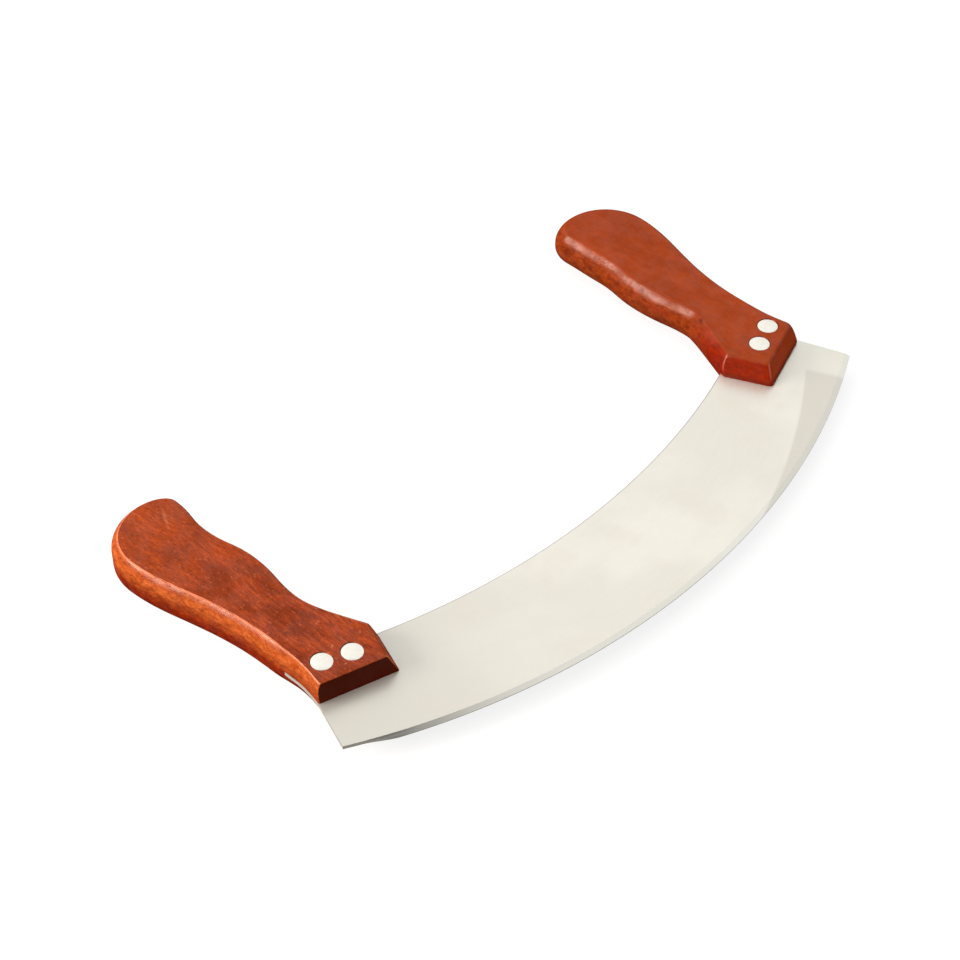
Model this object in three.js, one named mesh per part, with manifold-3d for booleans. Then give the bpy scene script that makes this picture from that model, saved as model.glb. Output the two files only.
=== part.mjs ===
// Rocking pizza cutter: a curved band of steel with a wooden handle riveted on each end.
// It lies flat, as on a table. X runs from the left handle to the right one, Y from the cutting
// edge towards the round ends of the handles, and Z up. The origin is the middle of its footprint.

import * as THREE from 'three';
import { mergeVertices } from 'three/addons/utils/BufferGeometryUtils.js';
import Module from 'manifold-3d';

// Driving dimensions, in millimetres and degrees.

// Blade: one band of sheet steel between two arcs.
const BLADE_SPAN = 270; // straight across, from tip to tip
const BLADE_DEPTH = 48.2; // from the back to the cutting edge, at the middle
const BLADE_THICKNESS = 1.5;
const EDGE_RADIUS = 284; // arc of the cutting edge
const BACK_RADIUS = 286.5; // arc of the back
const GRIND_WIDTH = 2; // sharpened bevel along the edge, on both faces
const EDGE_LAND = 0.3; // thickness left at the cutting edge
const TANG_PROUD = 0.3; // how far the steel stands out of a handle's outer side
const TANG_CORNER = 6; // length of the rounding at the hidden corner of the tang

// Rivets: two-piece, a post pressed into a sleeve, with flush heads on both faces.
const RIVET_TO_TIP = 21.7; // from the middle of a handle's two rivets to the blade's tip, along X
const RIVET_INSET = 10.5; // from the blade's back to the rivets
const RIVET_SPACING = 11;
const HEAD_DIAMETER = 8;
const HEAD_HEIGHT = 1.6;
const HEAD_CHAMFER = 0.3;
const HEAD_SINK = 0.1; // below the face of the wood
const SLEEVE_DIAMETER = 5;
const POST_DIAMETER = 3.2;
const POST_CLEARANCE = 0.1; // around the post, inside its sleeve
const POST_END_GAP = 0.5; // below the post's end, and above the sleeve's mouth
const HOLE_CLEARANCE = 0.15; // around a sleeve in the blade and the wood
const HEAD_CLEARANCE = 0.2; // around and under a head in its counterbore

// Handles. Across is measured from the middle of the two rivets, towards the other handle on
// the inner side and away from it on the outer side. Along is measured from the rivets too.
const HANDLE_THICKNESS = 18.2;
const OUTER_BULGE = 2.2; // how far the sides swell between the two faces
const INNER_BULGE = 0.8;
const FLARE_BULGE = 5; // the inner side's, at the blade
const OUTER_TOP_EDGE = 1.2; // rounding of the upper face's edges
const INNER_TOP_EDGE = 3;
const BOTTOM_EDGE = 3.5; // rounding of the lower face's edges, across
const OUTER_BOTTOM_RISE = 6; // the same, up the sides
const INNER_BOTTOM_RISE = 8;
const KERF_CLEARANCE = 0.15; // around the tang in its saw kerf

// Inner side: it waves in and out between the blade and the round end. The handles are shaped
// by hand, so the left one has a little more wood on this side, and the right one a little less.
const LEFT_INNER_ALLOWANCE = 1.3;
const RIGHT_INNER_ALLOWANCE = -1.2;
const INNER_CORNER = 17.4; // across, where the flare at the blade ends
const INNER_CORNER_ALONG = 1.8;
const INNER_FLARE = 22; // slant of the flare
const WAIST_INNER = 8.9;
const WAIST_ALONG = 28.4;
const BELLY_INNER = 11.6;
const BELLY_FROM_WAIST = 25.4;
const NECK_INNER = 8.4;
const NECK_FROM_BELLY = 23.2;
const HEAD_INNER = 10.6;
const HEAD_FROM_NECK = 17.7;

// Round end: a tight corner on the inner side and a wide arc on the outer side.
const CROWN_OUTWARD = 1.5; // across, from the rivets to the highest point of the end
const CROWN_RISE = 7.4; // from the inner corner of the head to the end
const HEAD_RADIUS = 19.8;

// Outer side: one long hollow from the round end to the blade.
const OUTER_WAIST = 10;
const OUTER_WAIST_ALONG = 20;
const OUTER_CORNER = 12.4;
const OUTER_CORNER_ALONG = -4.4;
const OUTER_FLARE = 12;

// Front of a handle: two flats meet over the blade, the front and, towards the middle, the nose.
// Both slope back from the blade to the faces of the handle, a little more on the right one.
const FRONT_REACH = 9.25; // from the rivets to the front, at the blade
const FRONT_SLANT = 14.5;
const NOSE_REACH = 19.5; // from the rivets to the nose, at the blade
const NOSE_SLANT = 20;
const LEFT_FRONT_SLOPE = 1.2;
const LEFT_NOSE_SLOPE = 4.4;
const RIGHT_FRONT_SLOPE = 1.9;
const RIGHT_NOSE_SLOPE = 6.6;

// Smoothness of the curves: steps along each arc or curve.
const EDGE_ARC_STEPS = 56;
const BACK_ARC_STEPS = 40;
const OUTLINE_STEPS = 7;
const ROUNDING_STEPS = 3;
const SIDE_STEPS = 5;
const RIVET_SIDES = 20;
const BORE_SIDES = 24;

// Share of a stretch of the side that each end of its curve leaves straight along the handle.
const SIDE_EASE = 0.45;
const FLANK_EASE_AT_HEAD = 0.29;
const FLANK_EASE_AT_WAIST = 0.48;

// A rounding takes at most this share of the radius of the corner that it goes round.
const ROUNDING_LIMIT = 0.8;

// Points closer than this are one point, where two curves join.
const SAME_POINT = 0.001;

// Places that follow from the sizes. Y starts at the lowest point of the cutting edge, and Z
// at the middle of the blade's thickness.
const HALF_HANDLE = HANDLE_THICKNESS / 2;
const HALF_BLADE = BLADE_THICKNESS / 2;
const EDGE_CENTRE = new THREE.Vector2(0, EDGE_RADIUS);
const BACK_CENTRE = new THREE.Vector2(0, BLADE_DEPTH + BACK_RADIUS);
const RIVET_ARC = BACK_RADIUS + RIVET_INSET;
const RIVET_X = BLADE_SPAN / 2 - RIVET_TO_TIP;
const RIVET_TURN = Math.asin(RIVET_X / RIVET_ARC);
const RIVET_Y = BACK_CENTRE.y - RIVET_ARC * Math.cos(RIVET_TURN);
const BELLY_ALONG = WAIST_ALONG + BELLY_FROM_WAIST;
const NECK_ALONG = BELLY_ALONG + NECK_FROM_BELLY;
const HEAD_ALONG = NECK_ALONG + HEAD_FROM_NECK;
const CROWN_ALONG = HEAD_ALONG + CROWN_RISE;
const HANDLE_REACH = CROWN_ALONG + bulgeBeside(new THREE.Vector2(-CROWN_OUTWARD, CROWN_ALONG));

const wasm = await Module();
wasm.setup();

const radians = THREE.MathUtils.degToRad;

// Closed three.js geometry as a solid that can be cut.
function solidFrom(geometry) {
  const bare = new THREE.BufferGeometry();
  bare.setAttribute('position', geometry.getAttribute('position'));
  bare.setIndex(geometry.index);
  const merged = mergeVertices(bare);
  const corners = merged.index.array;
  const triangles = [];
  for (let i = 0; i < corners.length; i += 3) {
    const [a, b, c] = corners.slice(i, i + 3);
    if (a !== b && b !== c && c !== a) triangles.push(a, b, c);
  }
  return new wasm.Manifold(new wasm.Mesh({
    numProp: 3,
    vertProperties: merged.getAttribute('position').array,
    triVerts: new Uint32Array(triangles),
  }));
}

// A solid back as three.js geometry, mirrored in X for the right-hand end of the cutter.
function geometryFrom(solid, mirrored) {
  const mesh = solid.getMesh();
  const geometry = new THREE.BufferGeometry();
  geometry.setAttribute('position', new THREE.BufferAttribute(mesh.vertProperties.slice(), 3));
  const corners = mesh.triVerts.slice();
  if (mirrored) {
    geometry.scale(-1, 1, 1);
    for (let i = 0; i < corners.length; i += 3) {
      [corners[i], corners[i + 1]] = [corners[i + 1], corners[i]];
    }
  }
  geometry.setIndex(new THREE.BufferAttribute(corners, 1));
  const faceted = geometry.toNonIndexed();
  faceted.computeVertexNormals();
  return faceted;
}

// A closed skin over rings of points, each anticlockwise from above, from the lowest to the highest.
function loft(rings) {
  const count = rings[0].length;
  const positions = rings.flat().flatMap((point) => point.toArray());
  const index = [];
  for (let level = 0; level + 1 < rings.length; level += 1) {
    for (let i = 0; i < count; i += 1) {
      const next = (i + 1) % count;
      const low = level * count;
      const high = low + count;
      index.push(low + i, low + next, high + next);
      index.push(low + i, high + next, high + i);
    }
  }
  const flat = (ring) => ring.map((point) => new THREE.Vector2(point.x, point.y));
  const top = (rings.length - 1) * count;
  for (const [a, b, c] of THREE.ShapeUtils.triangulateShape(flat(rings.at(-1)), [])) {
    index.push(top + a, top + b, top + c);
  }
  for (const [a, b, c] of THREE.ShapeUtils.triangulateShape(flat(rings[0]), [])) {
    index.push(c, b, a);
  }
  const geometry = new THREE.BufferGeometry();
  geometry.setAttribute('position', new THREE.Float32BufferAttribute(positions, 3));
  geometry.setIndex(index);
  return geometry;
}

// Outward directions at the points of an anticlockwise outline. An open one keeps its end directions.
function outwardNormals(points, closed) {
  const last = points.length - 1;
  return points.map((point, i) => {
    const before = points[i > 0 ? i - 1 : (closed ? last : 0)];
    const after = points[i < last ? i + 1 : (closed ? 0 : last)];
    const along = new THREE.Vector2().subVectors(after, before).normalize();
    return new THREE.Vector2(along.y, -along.x);
  });
}

// The first point where a measure falls to zero along a line of points, and the points up to it.
function pointsUntil(points, measure) {
  const end = points.findIndex((point) => measure(point) <= 0);
  const before = points[end - 1];
  const share = measure(before) / (measure(before) - measure(points[end]));
  return [...points.slice(0, end), before.clone().lerp(points[end], share)];
}

// How far a place across a handle belongs to its inner side, from 0 to 1.
function innerShare(across) {
  return THREE.MathUtils.smoothstep(across, -OUTER_WAIST, NECK_INNER);
}

// How far the side swells beside a point of a handle's outline.
function bulgeBeside(point) {
  const flare = THREE.MathUtils.smoothstep(-point.y, -WAIST_ALONG, -INNER_CORNER_ALONG);
  const inner = THREE.MathUtils.lerp(INNER_BULGE, FLARE_BULGE, flare);
  return THREE.MathUtils.lerp(OUTER_BULGE, inner, innerShare(point.x));
}

// Outline of a handle's faces, for the left one, from the nose round the inner side and the
// round end to the outer corner. It runs on past the front, which is cut afterwards.
function handleOutline(allowance) {
  const spare = FRONT_REACH + NOSE_REACH;
  const path = new THREE.Path();
  const swayTo = (across, along, easeOut = SIDE_EASE, easeIn = SIDE_EASE) => {
    const from = path.currentPoint.clone();
    const rise = along - from.y;
    path.bezierCurveTo(from.x, from.y + easeOut * rise, across, along - easeIn * rise, across, along);
  };
  const innerFlare = Math.tan(radians(INNER_FLARE));
  const innerEase = SIDE_EASE * (WAIST_ALONG - INNER_CORNER_ALONG);
  const corner = INNER_CORNER + allowance;
  const waist = WAIST_INNER + allowance;
  const head = HEAD_INNER + allowance;
  path.moveTo(corner + innerFlare * spare, INNER_CORNER_ALONG - spare);
  path.lineTo(corner, INNER_CORNER_ALONG);
  path.bezierCurveTo(
    corner - innerFlare * innerEase, INNER_CORNER_ALONG + innerEase,
    waist, WAIST_ALONG - innerEase,
    waist, WAIST_ALONG,
  );
  swayTo(BELLY_INNER + allowance, BELLY_ALONG);
  swayTo(NECK_INNER + allowance, NECK_ALONG);
  swayTo(head, HEAD_ALONG);
  path.absellipse(-CROWN_OUTWARD, HEAD_ALONG, head + CROWN_OUTWARD, CROWN_RISE, 0, Math.PI / 2);
  path.absarc(-CROWN_OUTWARD, CROWN_ALONG - HEAD_RADIUS, HEAD_RADIUS, Math.PI / 2, Math.PI);
  swayTo(-OUTER_WAIST, OUTER_WAIST_ALONG, FLANK_EASE_AT_HEAD, FLANK_EASE_AT_WAIST);
  const outerFlare = Math.tan(radians(OUTER_FLARE));
  const outerEase = SIDE_EASE * (OUTER_WAIST_ALONG - OUTER_CORNER_ALONG);
  path.bezierCurveTo(
    -OUTER_WAIST, OUTER_WAIST_ALONG - outerEase,
    -OUTER_CORNER + outerFlare * outerEase, OUTER_CORNER_ALONG + outerEase,
    -OUTER_CORNER, OUTER_CORNER_ALONG,
  );
  path.lineTo(-OUTER_CORNER - outerFlare * spare, OUTER_CORNER_ALONG - spare);
  const points = path.getPoints(OUTLINE_STEPS);
  return points.filter((point, i) => i === 0 || point.distanceTo(points[i - 1]) > SAME_POINT);
}

// Radius of an outline's own bend at each point, where it turns outwards.
function bendRadii(points) {
  return points.map((point, i) => {
    if (i === 0 || i === points.length - 1) return Infinity;
    const before = point.clone().sub(points[i - 1]);
    const after = points[i + 1].clone().sub(point);
    const turn = Math.atan2(before.cross(after), before.dot(after));
    return turn > 0 ? (before.length() + after.length()) / (2 * turn) : Infinity;
  });
}

// Section through a handle's side as points of (outwards, height), from the lower face to the upper.
function sideSection(bulge, lowerEdge, lowerRise, upperEdge) {
  const bulgeAt = (height) => bulge * (1 - (height / HALF_HANDLE) ** 2);
  const low = lowerRise - HALF_HANDLE;
  const high = HALF_HANDLE - upperEdge;
  const lower = new THREE.QuadraticBezierCurve(
    new THREE.Vector2(-lowerEdge, -HALF_HANDLE),
    new THREE.Vector2(0, -HALF_HANDLE),
    new THREE.Vector2(bulgeAt(low), low),
  );
  const upper = new THREE.QuadraticBezierCurve(
    new THREE.Vector2(bulgeAt(high), high),
    new THREE.Vector2(0, HALF_HANDLE),
    new THREE.Vector2(-upperEdge, HALF_HANDLE),
  );
  const side = [];
  for (let step = 1; step < SIDE_STEPS; step += 1) {
    const height = THREE.MathUtils.lerp(low, high, step / SIDE_STEPS);
    side.push(new THREE.Vector2(bulgeAt(height), height));
  }
  return [...lower.getPoints(ROUNDING_STEPS), ...side, ...upper.getPoints(ROUNDING_STEPS)];
}

// The handle's body before its front is cut.
function handleBlank(allowance) {
  const outline = handleOutline(allowance);
  const outward = outwardNormals(outline, false);
  const bends = bendRadii(outline);
  const columns = outline.map((point, i) => {
    const blend = (outer, inner) => THREE.MathUtils.lerp(outer, inner, innerShare(point.x));
    const widest = ROUNDING_LIMIT * bends[i];
    const section = sideSection(
      bulgeBeside(point),
      Math.min(BOTTOM_EDGE, widest),
      blend(OUTER_BOTTOM_RISE, INNER_BOTTOM_RISE),
      Math.min(blend(OUTER_TOP_EDGE, INNER_TOP_EDGE), widest),
    );
    return section.map(({ x, y }) => {
      const place = point.clone().addScaledVector(outward[i], x);
      return new THREE.Vector3(place.x, place.y, y);
    });
  });
  const rings = columns[0].map((_, level) => columns.map((column) => column[level]));
  return solidFrom(loft(rings));
}

// All that lies beyond a plane, near the handle.
function beyond(point, direction) {
  const size = 2 * (HANDLE_REACH + NOSE_REACH);
  const block = new THREE.BoxGeometry(size, size, size);
  block.translate(0, 0, size / 2);
  block.applyQuaternion(new THREE.Quaternion().setFromUnitVectors(new THREE.Vector3(0, 0, 1), direction));
  block.translate(point.x, point.y, point.z);
  return solidFrom(block);
}

// Cuts one flat at the front of a handle, above and below the blade.
function cutFlat(body, facing, reach, slope) {
  const rise = HALF_HANDLE - HALF_BLADE;
  return [1, -1].reduce((rest, up) => {
    const point = new THREE.Vector3(facing.x * reach, facing.y * reach, up * HALF_BLADE);
    const direction = new THREE.Vector3(facing.x * rise, facing.y * rise, up * slope).normalize();
    return rest.subtract(beyond(point, direction));
  }, body);
}

const FRONT_FACING = new THREE.Vector2(-Math.sin(radians(FRONT_SLANT)), -Math.cos(radians(FRONT_SLANT)));
const NOSE_FACING = new THREE.Vector2(Math.cos(radians(NOSE_SLANT)), -Math.sin(radians(NOSE_SLANT)));
const RIVET_PLACES = [-1, 1].map((side) => new THREE.Vector2(
  side * (RIVET_SPACING / 2) * Math.cos(RIVET_TURN),
  -side * (RIVET_SPACING / 2) * Math.sin(RIVET_TURN),
));

// The left end of the blade, seen from the handle's rivets: from the handle's front corner, along
// its outer side and round the tang's corner to the back.
function tangSide() {
  const toBack = (point) => {
    const across = point.x - RIVET_X;
    const along = point.y + RIVET_Y - BACK_CENTRE.y;
    return Math.hypot(across, along) - BACK_RADIUS;
  };
  const toFront = (point) => FRONT_REACH - point.dot(FRONT_FACING);
  const outline = handleOutline(0);
  const outward = outwardNormals(outline, false);
  const side = outline
    .map((point, i) => point.clone().addScaledVector(outward[i], OUTER_BULGE + TANG_PROUD))
    .filter((point) => point.x < 0 && point.y < CROWN_ALONG - HEAD_RADIUS);
  const toCorner = pointsUntil(side, toFront).reverse();
  const whole = pointsUntil(toCorner, toBack);
  const corner = whole.at(-1);
  const straight = whole.filter((point) => point.distanceTo(corner) > TANG_CORNER);
  const turn = Math.asin((RIVET_X - corner.x) / BACK_RADIUS) - TANG_CORNER / BACK_RADIUS;
  const onBack = new THREE.Vector2(
    RIVET_X - BACK_RADIUS * Math.sin(turn),
    BACK_CENTRE.y - RIVET_Y - BACK_RADIUS * Math.cos(turn),
  );
  const rounding = new THREE.QuadraticBezierCurve(straight.at(-1), corner, onBack);
  return [...straight, ...rounding.getPoints(ROUNDING_STEPS + 1).slice(1)];
}

const leftTang = tangSide().map((point) => new THREE.Vector2(point.x - RIVET_X, point.y + RIVET_Y));

// Points of an arc about a centre above it, between two turns from straight down.
function arcPoints(centre, radius, from, to, steps) {
  return Array.from({ length: steps + 1 }, (_, step) => {
    const turn = THREE.MathUtils.lerp(from, to, step / steps);
    return new THREE.Vector2(centre.x + radius * Math.sin(turn), centre.y - radius * Math.cos(turn));
  });
}

// Outline of the blade with its cutting edge moved back by some width, anticlockwise from the left
// tip. Each end is cut straight from the tip to the front corner of the handle.
function bladeOutline(ground) {
  const tip = new THREE.Vector2(-BLADE_SPAN / 2, 0);
  tip.y = EDGE_CENTRE.y - Math.sqrt(EDGE_RADIUS ** 2 - tip.x ** 2);
  const along = leftTang[0].clone().sub(tip).normalize();
  const inwards = along.dot(EDGE_CENTRE.clone().sub(tip));
  const radius = EDGE_RADIUS - ground;
  const walked = inwards - Math.sqrt(inwards ** 2 - EDGE_RADIUS ** 2 + radius ** 2);
  const corner = tip.clone().addScaledVector(along, walked);
  const edgeTurn = Math.asin(-corner.x / radius);
  const backTurn = Math.asin(-leftTang.at(-1).x / BACK_RADIUS);
  return [
    ...arcPoints(EDGE_CENTRE, radius, -edgeTurn, edgeTurn, EDGE_ARC_STEPS),
    ...leftTang.map((point) => new THREE.Vector2(-point.x, point.y)),
    ...arcPoints(BACK_CENTRE, BACK_RADIUS, backTurn, -backTurn, BACK_ARC_STEPS).slice(1, -1),
    ...leftTang.toReversed(),
  ];
}

// A round hole's waste, along Z between two heights.
function holeWaste(place, diameter, low, high) {
  const waste = new THREE.CylinderGeometry(diameter / 2, diameter / 2, high - low, BORE_SIDES);
  waste.rotateX(Math.PI / 2);
  waste.translate(place.x, place.y, (low + high) / 2);
  return solidFrom(waste);
}

function bladeSolid() {
  const levels = [
    [-HALF_BLADE, GRIND_WIDTH],
    [-EDGE_LAND / 2, 0],
    [EDGE_LAND / 2, 0],
    [HALF_BLADE, GRIND_WIDTH],
  ];
  const rings = levels.map(([height, ground]) => (
    bladeOutline(ground).map((point) => new THREE.Vector3(point.x, point.y, height))
  ));
  const holes = [-1, 1].flatMap((end) => RIVET_PLACES.map((place) => (
    new THREE.Vector2(end * (RIVET_X - place.x), RIVET_Y + place.y)
  )));
  return holes.reduce((rest, place) => (
    rest.subtract(holeWaste(place, SLEEVE_DIAMETER + 2 * HOLE_CLEARANCE, -BLADE_THICKNESS, BLADE_THICKNESS))
  ), solidFrom(loft(rings)));
}

// The slot for the tang: the blade's own outline with a clearance all round.
function kerfWaste() {
  const plain = bladeOutline(0);
  const directions = outwardNormals(plain, true);
  const wide = plain.map((point, i) => {
    const grown = point.clone().addScaledVector(directions[i], KERF_CLEARANCE);
    return new THREE.Vector2(grown.x + RIVET_X, grown.y - RIVET_Y);
  });
  const depth = BLADE_THICKNESS + 2 * KERF_CLEARANCE;
  const waste = new THREE.ExtrudeGeometry(new THREE.Shape(wide), { depth, bevelEnabled: false });
  waste.translate(0, 0, -depth / 2);
  return solidFrom(waste);
}

function handleSolid(allowance, frontSlope, noseSlope) {
  let body = handleBlank(allowance);
  body = cutFlat(body, FRONT_FACING, FRONT_REACH, frontSlope);
  body = cutFlat(body, NOSE_FACING, NOSE_REACH, noseSlope);
  body = body.subtract(kerfWaste());
  const seat = HALF_HANDLE - HEAD_SINK - HEAD_HEIGHT - HEAD_CLEARANCE;
  for (const place of RIVET_PLACES) {
    const sleeveHole = SLEEVE_DIAMETER + 2 * HOLE_CLEARANCE;
    const headHole = HEAD_DIAMETER + 2 * HEAD_CLEARANCE;
    body = body.subtract(holeWaste(place, sleeveHole, -HANDLE_THICKNESS, HANDLE_THICKNESS));
    body = body.subtract(holeWaste(place, headHole, seat, HANDLE_THICKNESS));
    body = body.subtract(holeWaste(place, headHole, -HANDLE_THICKNESS, -seat));
  }
  return body;
}

// A turned piece from its half section of (radius, height) points, listed from the bottom up.
function turned(profile) {
  const points = profile.map(([radius, height]) => new THREE.Vector2(radius, height));
  const geometry = new THREE.LatheGeometry(points, RIVET_SIDES);
  geometry.rotateX(Math.PI / 2);
  return solidFrom(geometry);
}

const HEAD_TOP = HALF_HANDLE - HEAD_SINK;
const HEAD_SEAT = HEAD_TOP - HEAD_HEIGHT;

// The upper half of a rivet: a head on a solid post.
function postSolid() {
  const headRadius = HEAD_DIAMETER / 2;
  const end = POST_END_GAP - HEAD_SEAT;
  return turned([
    [0, end],
    [POST_DIAMETER / 2, end],
    [POST_DIAMETER / 2, HEAD_SEAT],
    [headRadius, HEAD_SEAT],
    [headRadius, HEAD_TOP - HEAD_CHAMFER],
    [headRadius - HEAD_CHAMFER, HEAD_TOP],
    [0, HEAD_TOP],
  ]);
}

// The lower half of a rivet: a head on a sleeve that takes the post.
function sleeveSolid() {
  const headRadius = HEAD_DIAMETER / 2;
  const boreRadius = POST_DIAMETER / 2 + POST_CLEARANCE;
  const mouth = HEAD_SEAT - POST_END_GAP;
  return turned([
    [0, -HEAD_TOP],
    [headRadius - HEAD_CHAMFER, -HEAD_TOP],
    [headRadius, HEAD_CHAMFER - HEAD_TOP],
    [headRadius, -HEAD_SEAT],
    [SLEEVE_DIAMETER / 2, -HEAD_SEAT],
    [SLEEVE_DIAMETER / 2, mouth],
    [boreRadius, mouth],
    [boreRadius, -HEAD_SEAT],
    [0, -HEAD_SEAT],
  ]);
}

const steel = () => new THREE.MeshStandardMaterial({ color: 0xd9d6cb, roughness: 0.32, metalness: 1 });
const wood = () => new THREE.MeshStandardMaterial({ color: 0x9c452b, roughness: 0.38, metalness: 0 });
const rivetMetal = () => new THREE.MeshStandardMaterial({ color: 0xe6e5df, roughness: 0.36, metalness: 1 });

function namedMesh(name, solid, mirrored, material) {
  const mesh = new THREE.Mesh(geometryFrom(solid, mirrored), material);
  mesh.name = name;
  return mesh;
}

// One end of the cutter: a handle and its rivets, about the middle of the two rivets.
function cutterEnd(side, mirrored, handle) {
  const end = new THREE.Group();
  end.add(namedMesh(`${side}_handle`, handle, mirrored, wood()));
  ['outer', 'inner'].forEach((which, i) => {
    const rivet = new THREE.Group();
    rivet.add(namedMesh(`${side}_${which}_rivet_post`, postSolid(), mirrored, rivetMetal()));
    rivet.add(namedMesh(`${side}_${which}_rivet_sleeve`, sleeveSolid(), mirrored, rivetMetal()));
    rivet.position.set(mirrored ? -RIVET_PLACES[i].x : RIVET_PLACES[i].x, RIVET_PLACES[i].y, 0);
    end.add(rivet);
  });
  end.position.set(mirrored ? RIVET_X : -RIVET_X, RIVET_Y, 0);
  return end;
}

const cutter = new THREE.Group();
cutter.add(namedMesh('blade', bladeSolid(), false, steel()));
const leftHandle = handleSolid(LEFT_INNER_ALLOWANCE, LEFT_FRONT_SLOPE, LEFT_NOSE_SLOPE);
const rightHandle = handleSolid(RIGHT_INNER_ALLOWANCE, RIGHT_FRONT_SLOPE, RIGHT_NOSE_SLOPE);
cutter.add(cutterEnd('left', false, leftHandle));
cutter.add(cutterEnd('right', true, rightHandle));
cutter.position.set(0, -(RIVET_Y + HANDLE_REACH) / 2, HALF_HANDLE);

const pizzaCutter = new THREE.Group();
pizzaCutter.add(cutter);

export default pizzaCutter;
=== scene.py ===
import math

import bpy
import numpy as np
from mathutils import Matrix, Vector, noise


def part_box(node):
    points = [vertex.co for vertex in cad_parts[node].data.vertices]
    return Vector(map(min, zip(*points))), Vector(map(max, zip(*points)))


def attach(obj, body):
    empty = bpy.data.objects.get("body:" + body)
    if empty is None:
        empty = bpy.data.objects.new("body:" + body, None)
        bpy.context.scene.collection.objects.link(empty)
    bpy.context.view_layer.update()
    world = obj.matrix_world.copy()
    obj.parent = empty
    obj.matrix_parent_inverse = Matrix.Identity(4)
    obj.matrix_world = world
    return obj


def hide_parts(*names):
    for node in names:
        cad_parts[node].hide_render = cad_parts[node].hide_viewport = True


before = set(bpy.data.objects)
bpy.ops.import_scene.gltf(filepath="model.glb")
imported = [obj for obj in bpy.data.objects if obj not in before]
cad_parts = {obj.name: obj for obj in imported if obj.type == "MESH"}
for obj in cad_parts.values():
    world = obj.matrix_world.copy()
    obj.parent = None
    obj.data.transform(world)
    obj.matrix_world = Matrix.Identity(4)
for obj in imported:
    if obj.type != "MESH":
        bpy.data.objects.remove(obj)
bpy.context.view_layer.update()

# Handles: one block of red-brown hardwood each, shaped and sanded by hand and lacquered. A saw
# kerf takes the blade's tang, and the front is cut in two flats. Sizes are in millimetres, and
# places are the left handle's, across and along from the middle of its two rivets.
MM = 0.001
HALF_HANDLE = 9.1

# Outline of the faces: the corner of the flare, the inner side along to the head, the crown, and
# the outer side back to the front. Flares are tangents, and eases are shares of a curve's rise.
INNER_CORNER = np.array((17.4, 1.8))
INNER_FLARE = math.tan(math.radians(22))
WAIST = np.array((8.9, 30.0))
BELLY = np.array((11.6, 53.8))
NECK = np.array((8.4, 77.0))
HEAD = np.array((10.6, 94.7))
CROWN = np.array((-1.5, 102.1))
CROWN_FOLLOWS_HEAD = 0.25
HEAD_RADIUS = 18.1
OUTER_WAIST = np.array((-10.0, 20.0))
OUTER_CORNER = np.array((-12.4, -4.4))
OUTER_FLARE = math.tan(math.radians(12))
SIDE_EASE = 0.45
FLARE_EASE = 0.5
WAIST_EASE = 0.2
FLANK_EASE_AT_HEAD = 0.29
FLANK_EASE_AT_WAIST = 0.48
PAST_FRONT = 30.0
CURVE_POINTS = 60
OUTLINE_POINTS = 640

# Section of the sides: how far they swell beyond the outline, how deep their rounding goes at the
# top, the crease in it, how far they draw in at the bottom and from what height, and their waver.
OUTER_BULGE = 2.7
FLARE_BULGE = 2.8
FLATTER_FRONT = 0.5
FLATTER_FROM = 20.0
OUTER_SHOULDER = 5.2
CREASE = 0.2
CREASE_DEPTH = 0.3
OUTER_BOTTOM_EDGE = 2.2
FRONT_BOTTOM_EDGE = 1.75
INNER_BOTTOM_EDGE = 5.1
OUTER_BOTTOM_RISE = 7.2
INNER_BOTTOM_RISE = 10.0
BLADE_EDGE_RISE = 1.6
ROUNDING_LIMIT = 0.8
BEND_WINDOW = 9
LEAST_BEND = 0.001
HAND_WAVER = 0.12
WAVER_PACE = 0.09
WAVER_PACE_UP = 0.1

# How finely the sides are drawn: points on each ring, and rings, which crowd at the edges.
SIDE_POINTS = 300
FLAT_POINTS = 6
CORNER_POINTS = 7
UPPER_RINGS = 20
MIDDLE_RINGS = 6
LOWER_RINGS = 15
UPPER_CROWDING = 2.2
LOWER_CROWDING = 2

# Each handle's own shape, left and right: wood more or less on its inner side, at the corner of its
# flare, on its belly, at its head and in the head's radius; how far the inner side swells and how
# deep its rounding goes; how far the two flats reach from the rivets at the blade, their slant in
# degrees, and how far they slope back to the faces; and the roundings of their edges and corners.
HANDLE_SHAPES = {
    "side": (1, -1),
    "inner_more": (0.2, -1.2),
    "corner_more": (0.0, 2.5),
    "belly_more": (-0.2, -0.8),
    "head_more": (0.0, -2.4),
    "round_more": (0.0, 1.7),
    "inner_bulge": (1.4, 3.7),
    "inner_shoulder": (4.4, 7.5),
    "front_reach": (9.5, 11.4),
    "front_slant": (17, 19),
    "front_slope": (1.35, 3.6),
    "nose_reach": (19.2, 19.8),
    "nose_slant": (20, 25.5),
    "nose_slope": (4.0, 4.2),
    "flat_edge": (0.4, 1.1),
    "blade_edge": (0.1, 0.7),
    "nose_corner": (0.8, 1.3),
    "outer_corner": (0.7, 2.2),
    "tip_corner": (0.6, 1.7),
}

RIVETS = ["left_outer", "left_inner", "right_inner", "right_outer"]
rivet_places = []
for rivet in RIVETS:
    low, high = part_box(rivet + "_rivet_post")
    rivet_places.append((Vector(low) + Vector(high)) / (2 * MM))
RIVET_X = (rivet_places[2].x + rivet_places[3].x) / 2
RIVET_Y = (rivet_places[2].y + rivet_places[3].y) / 2

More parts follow.
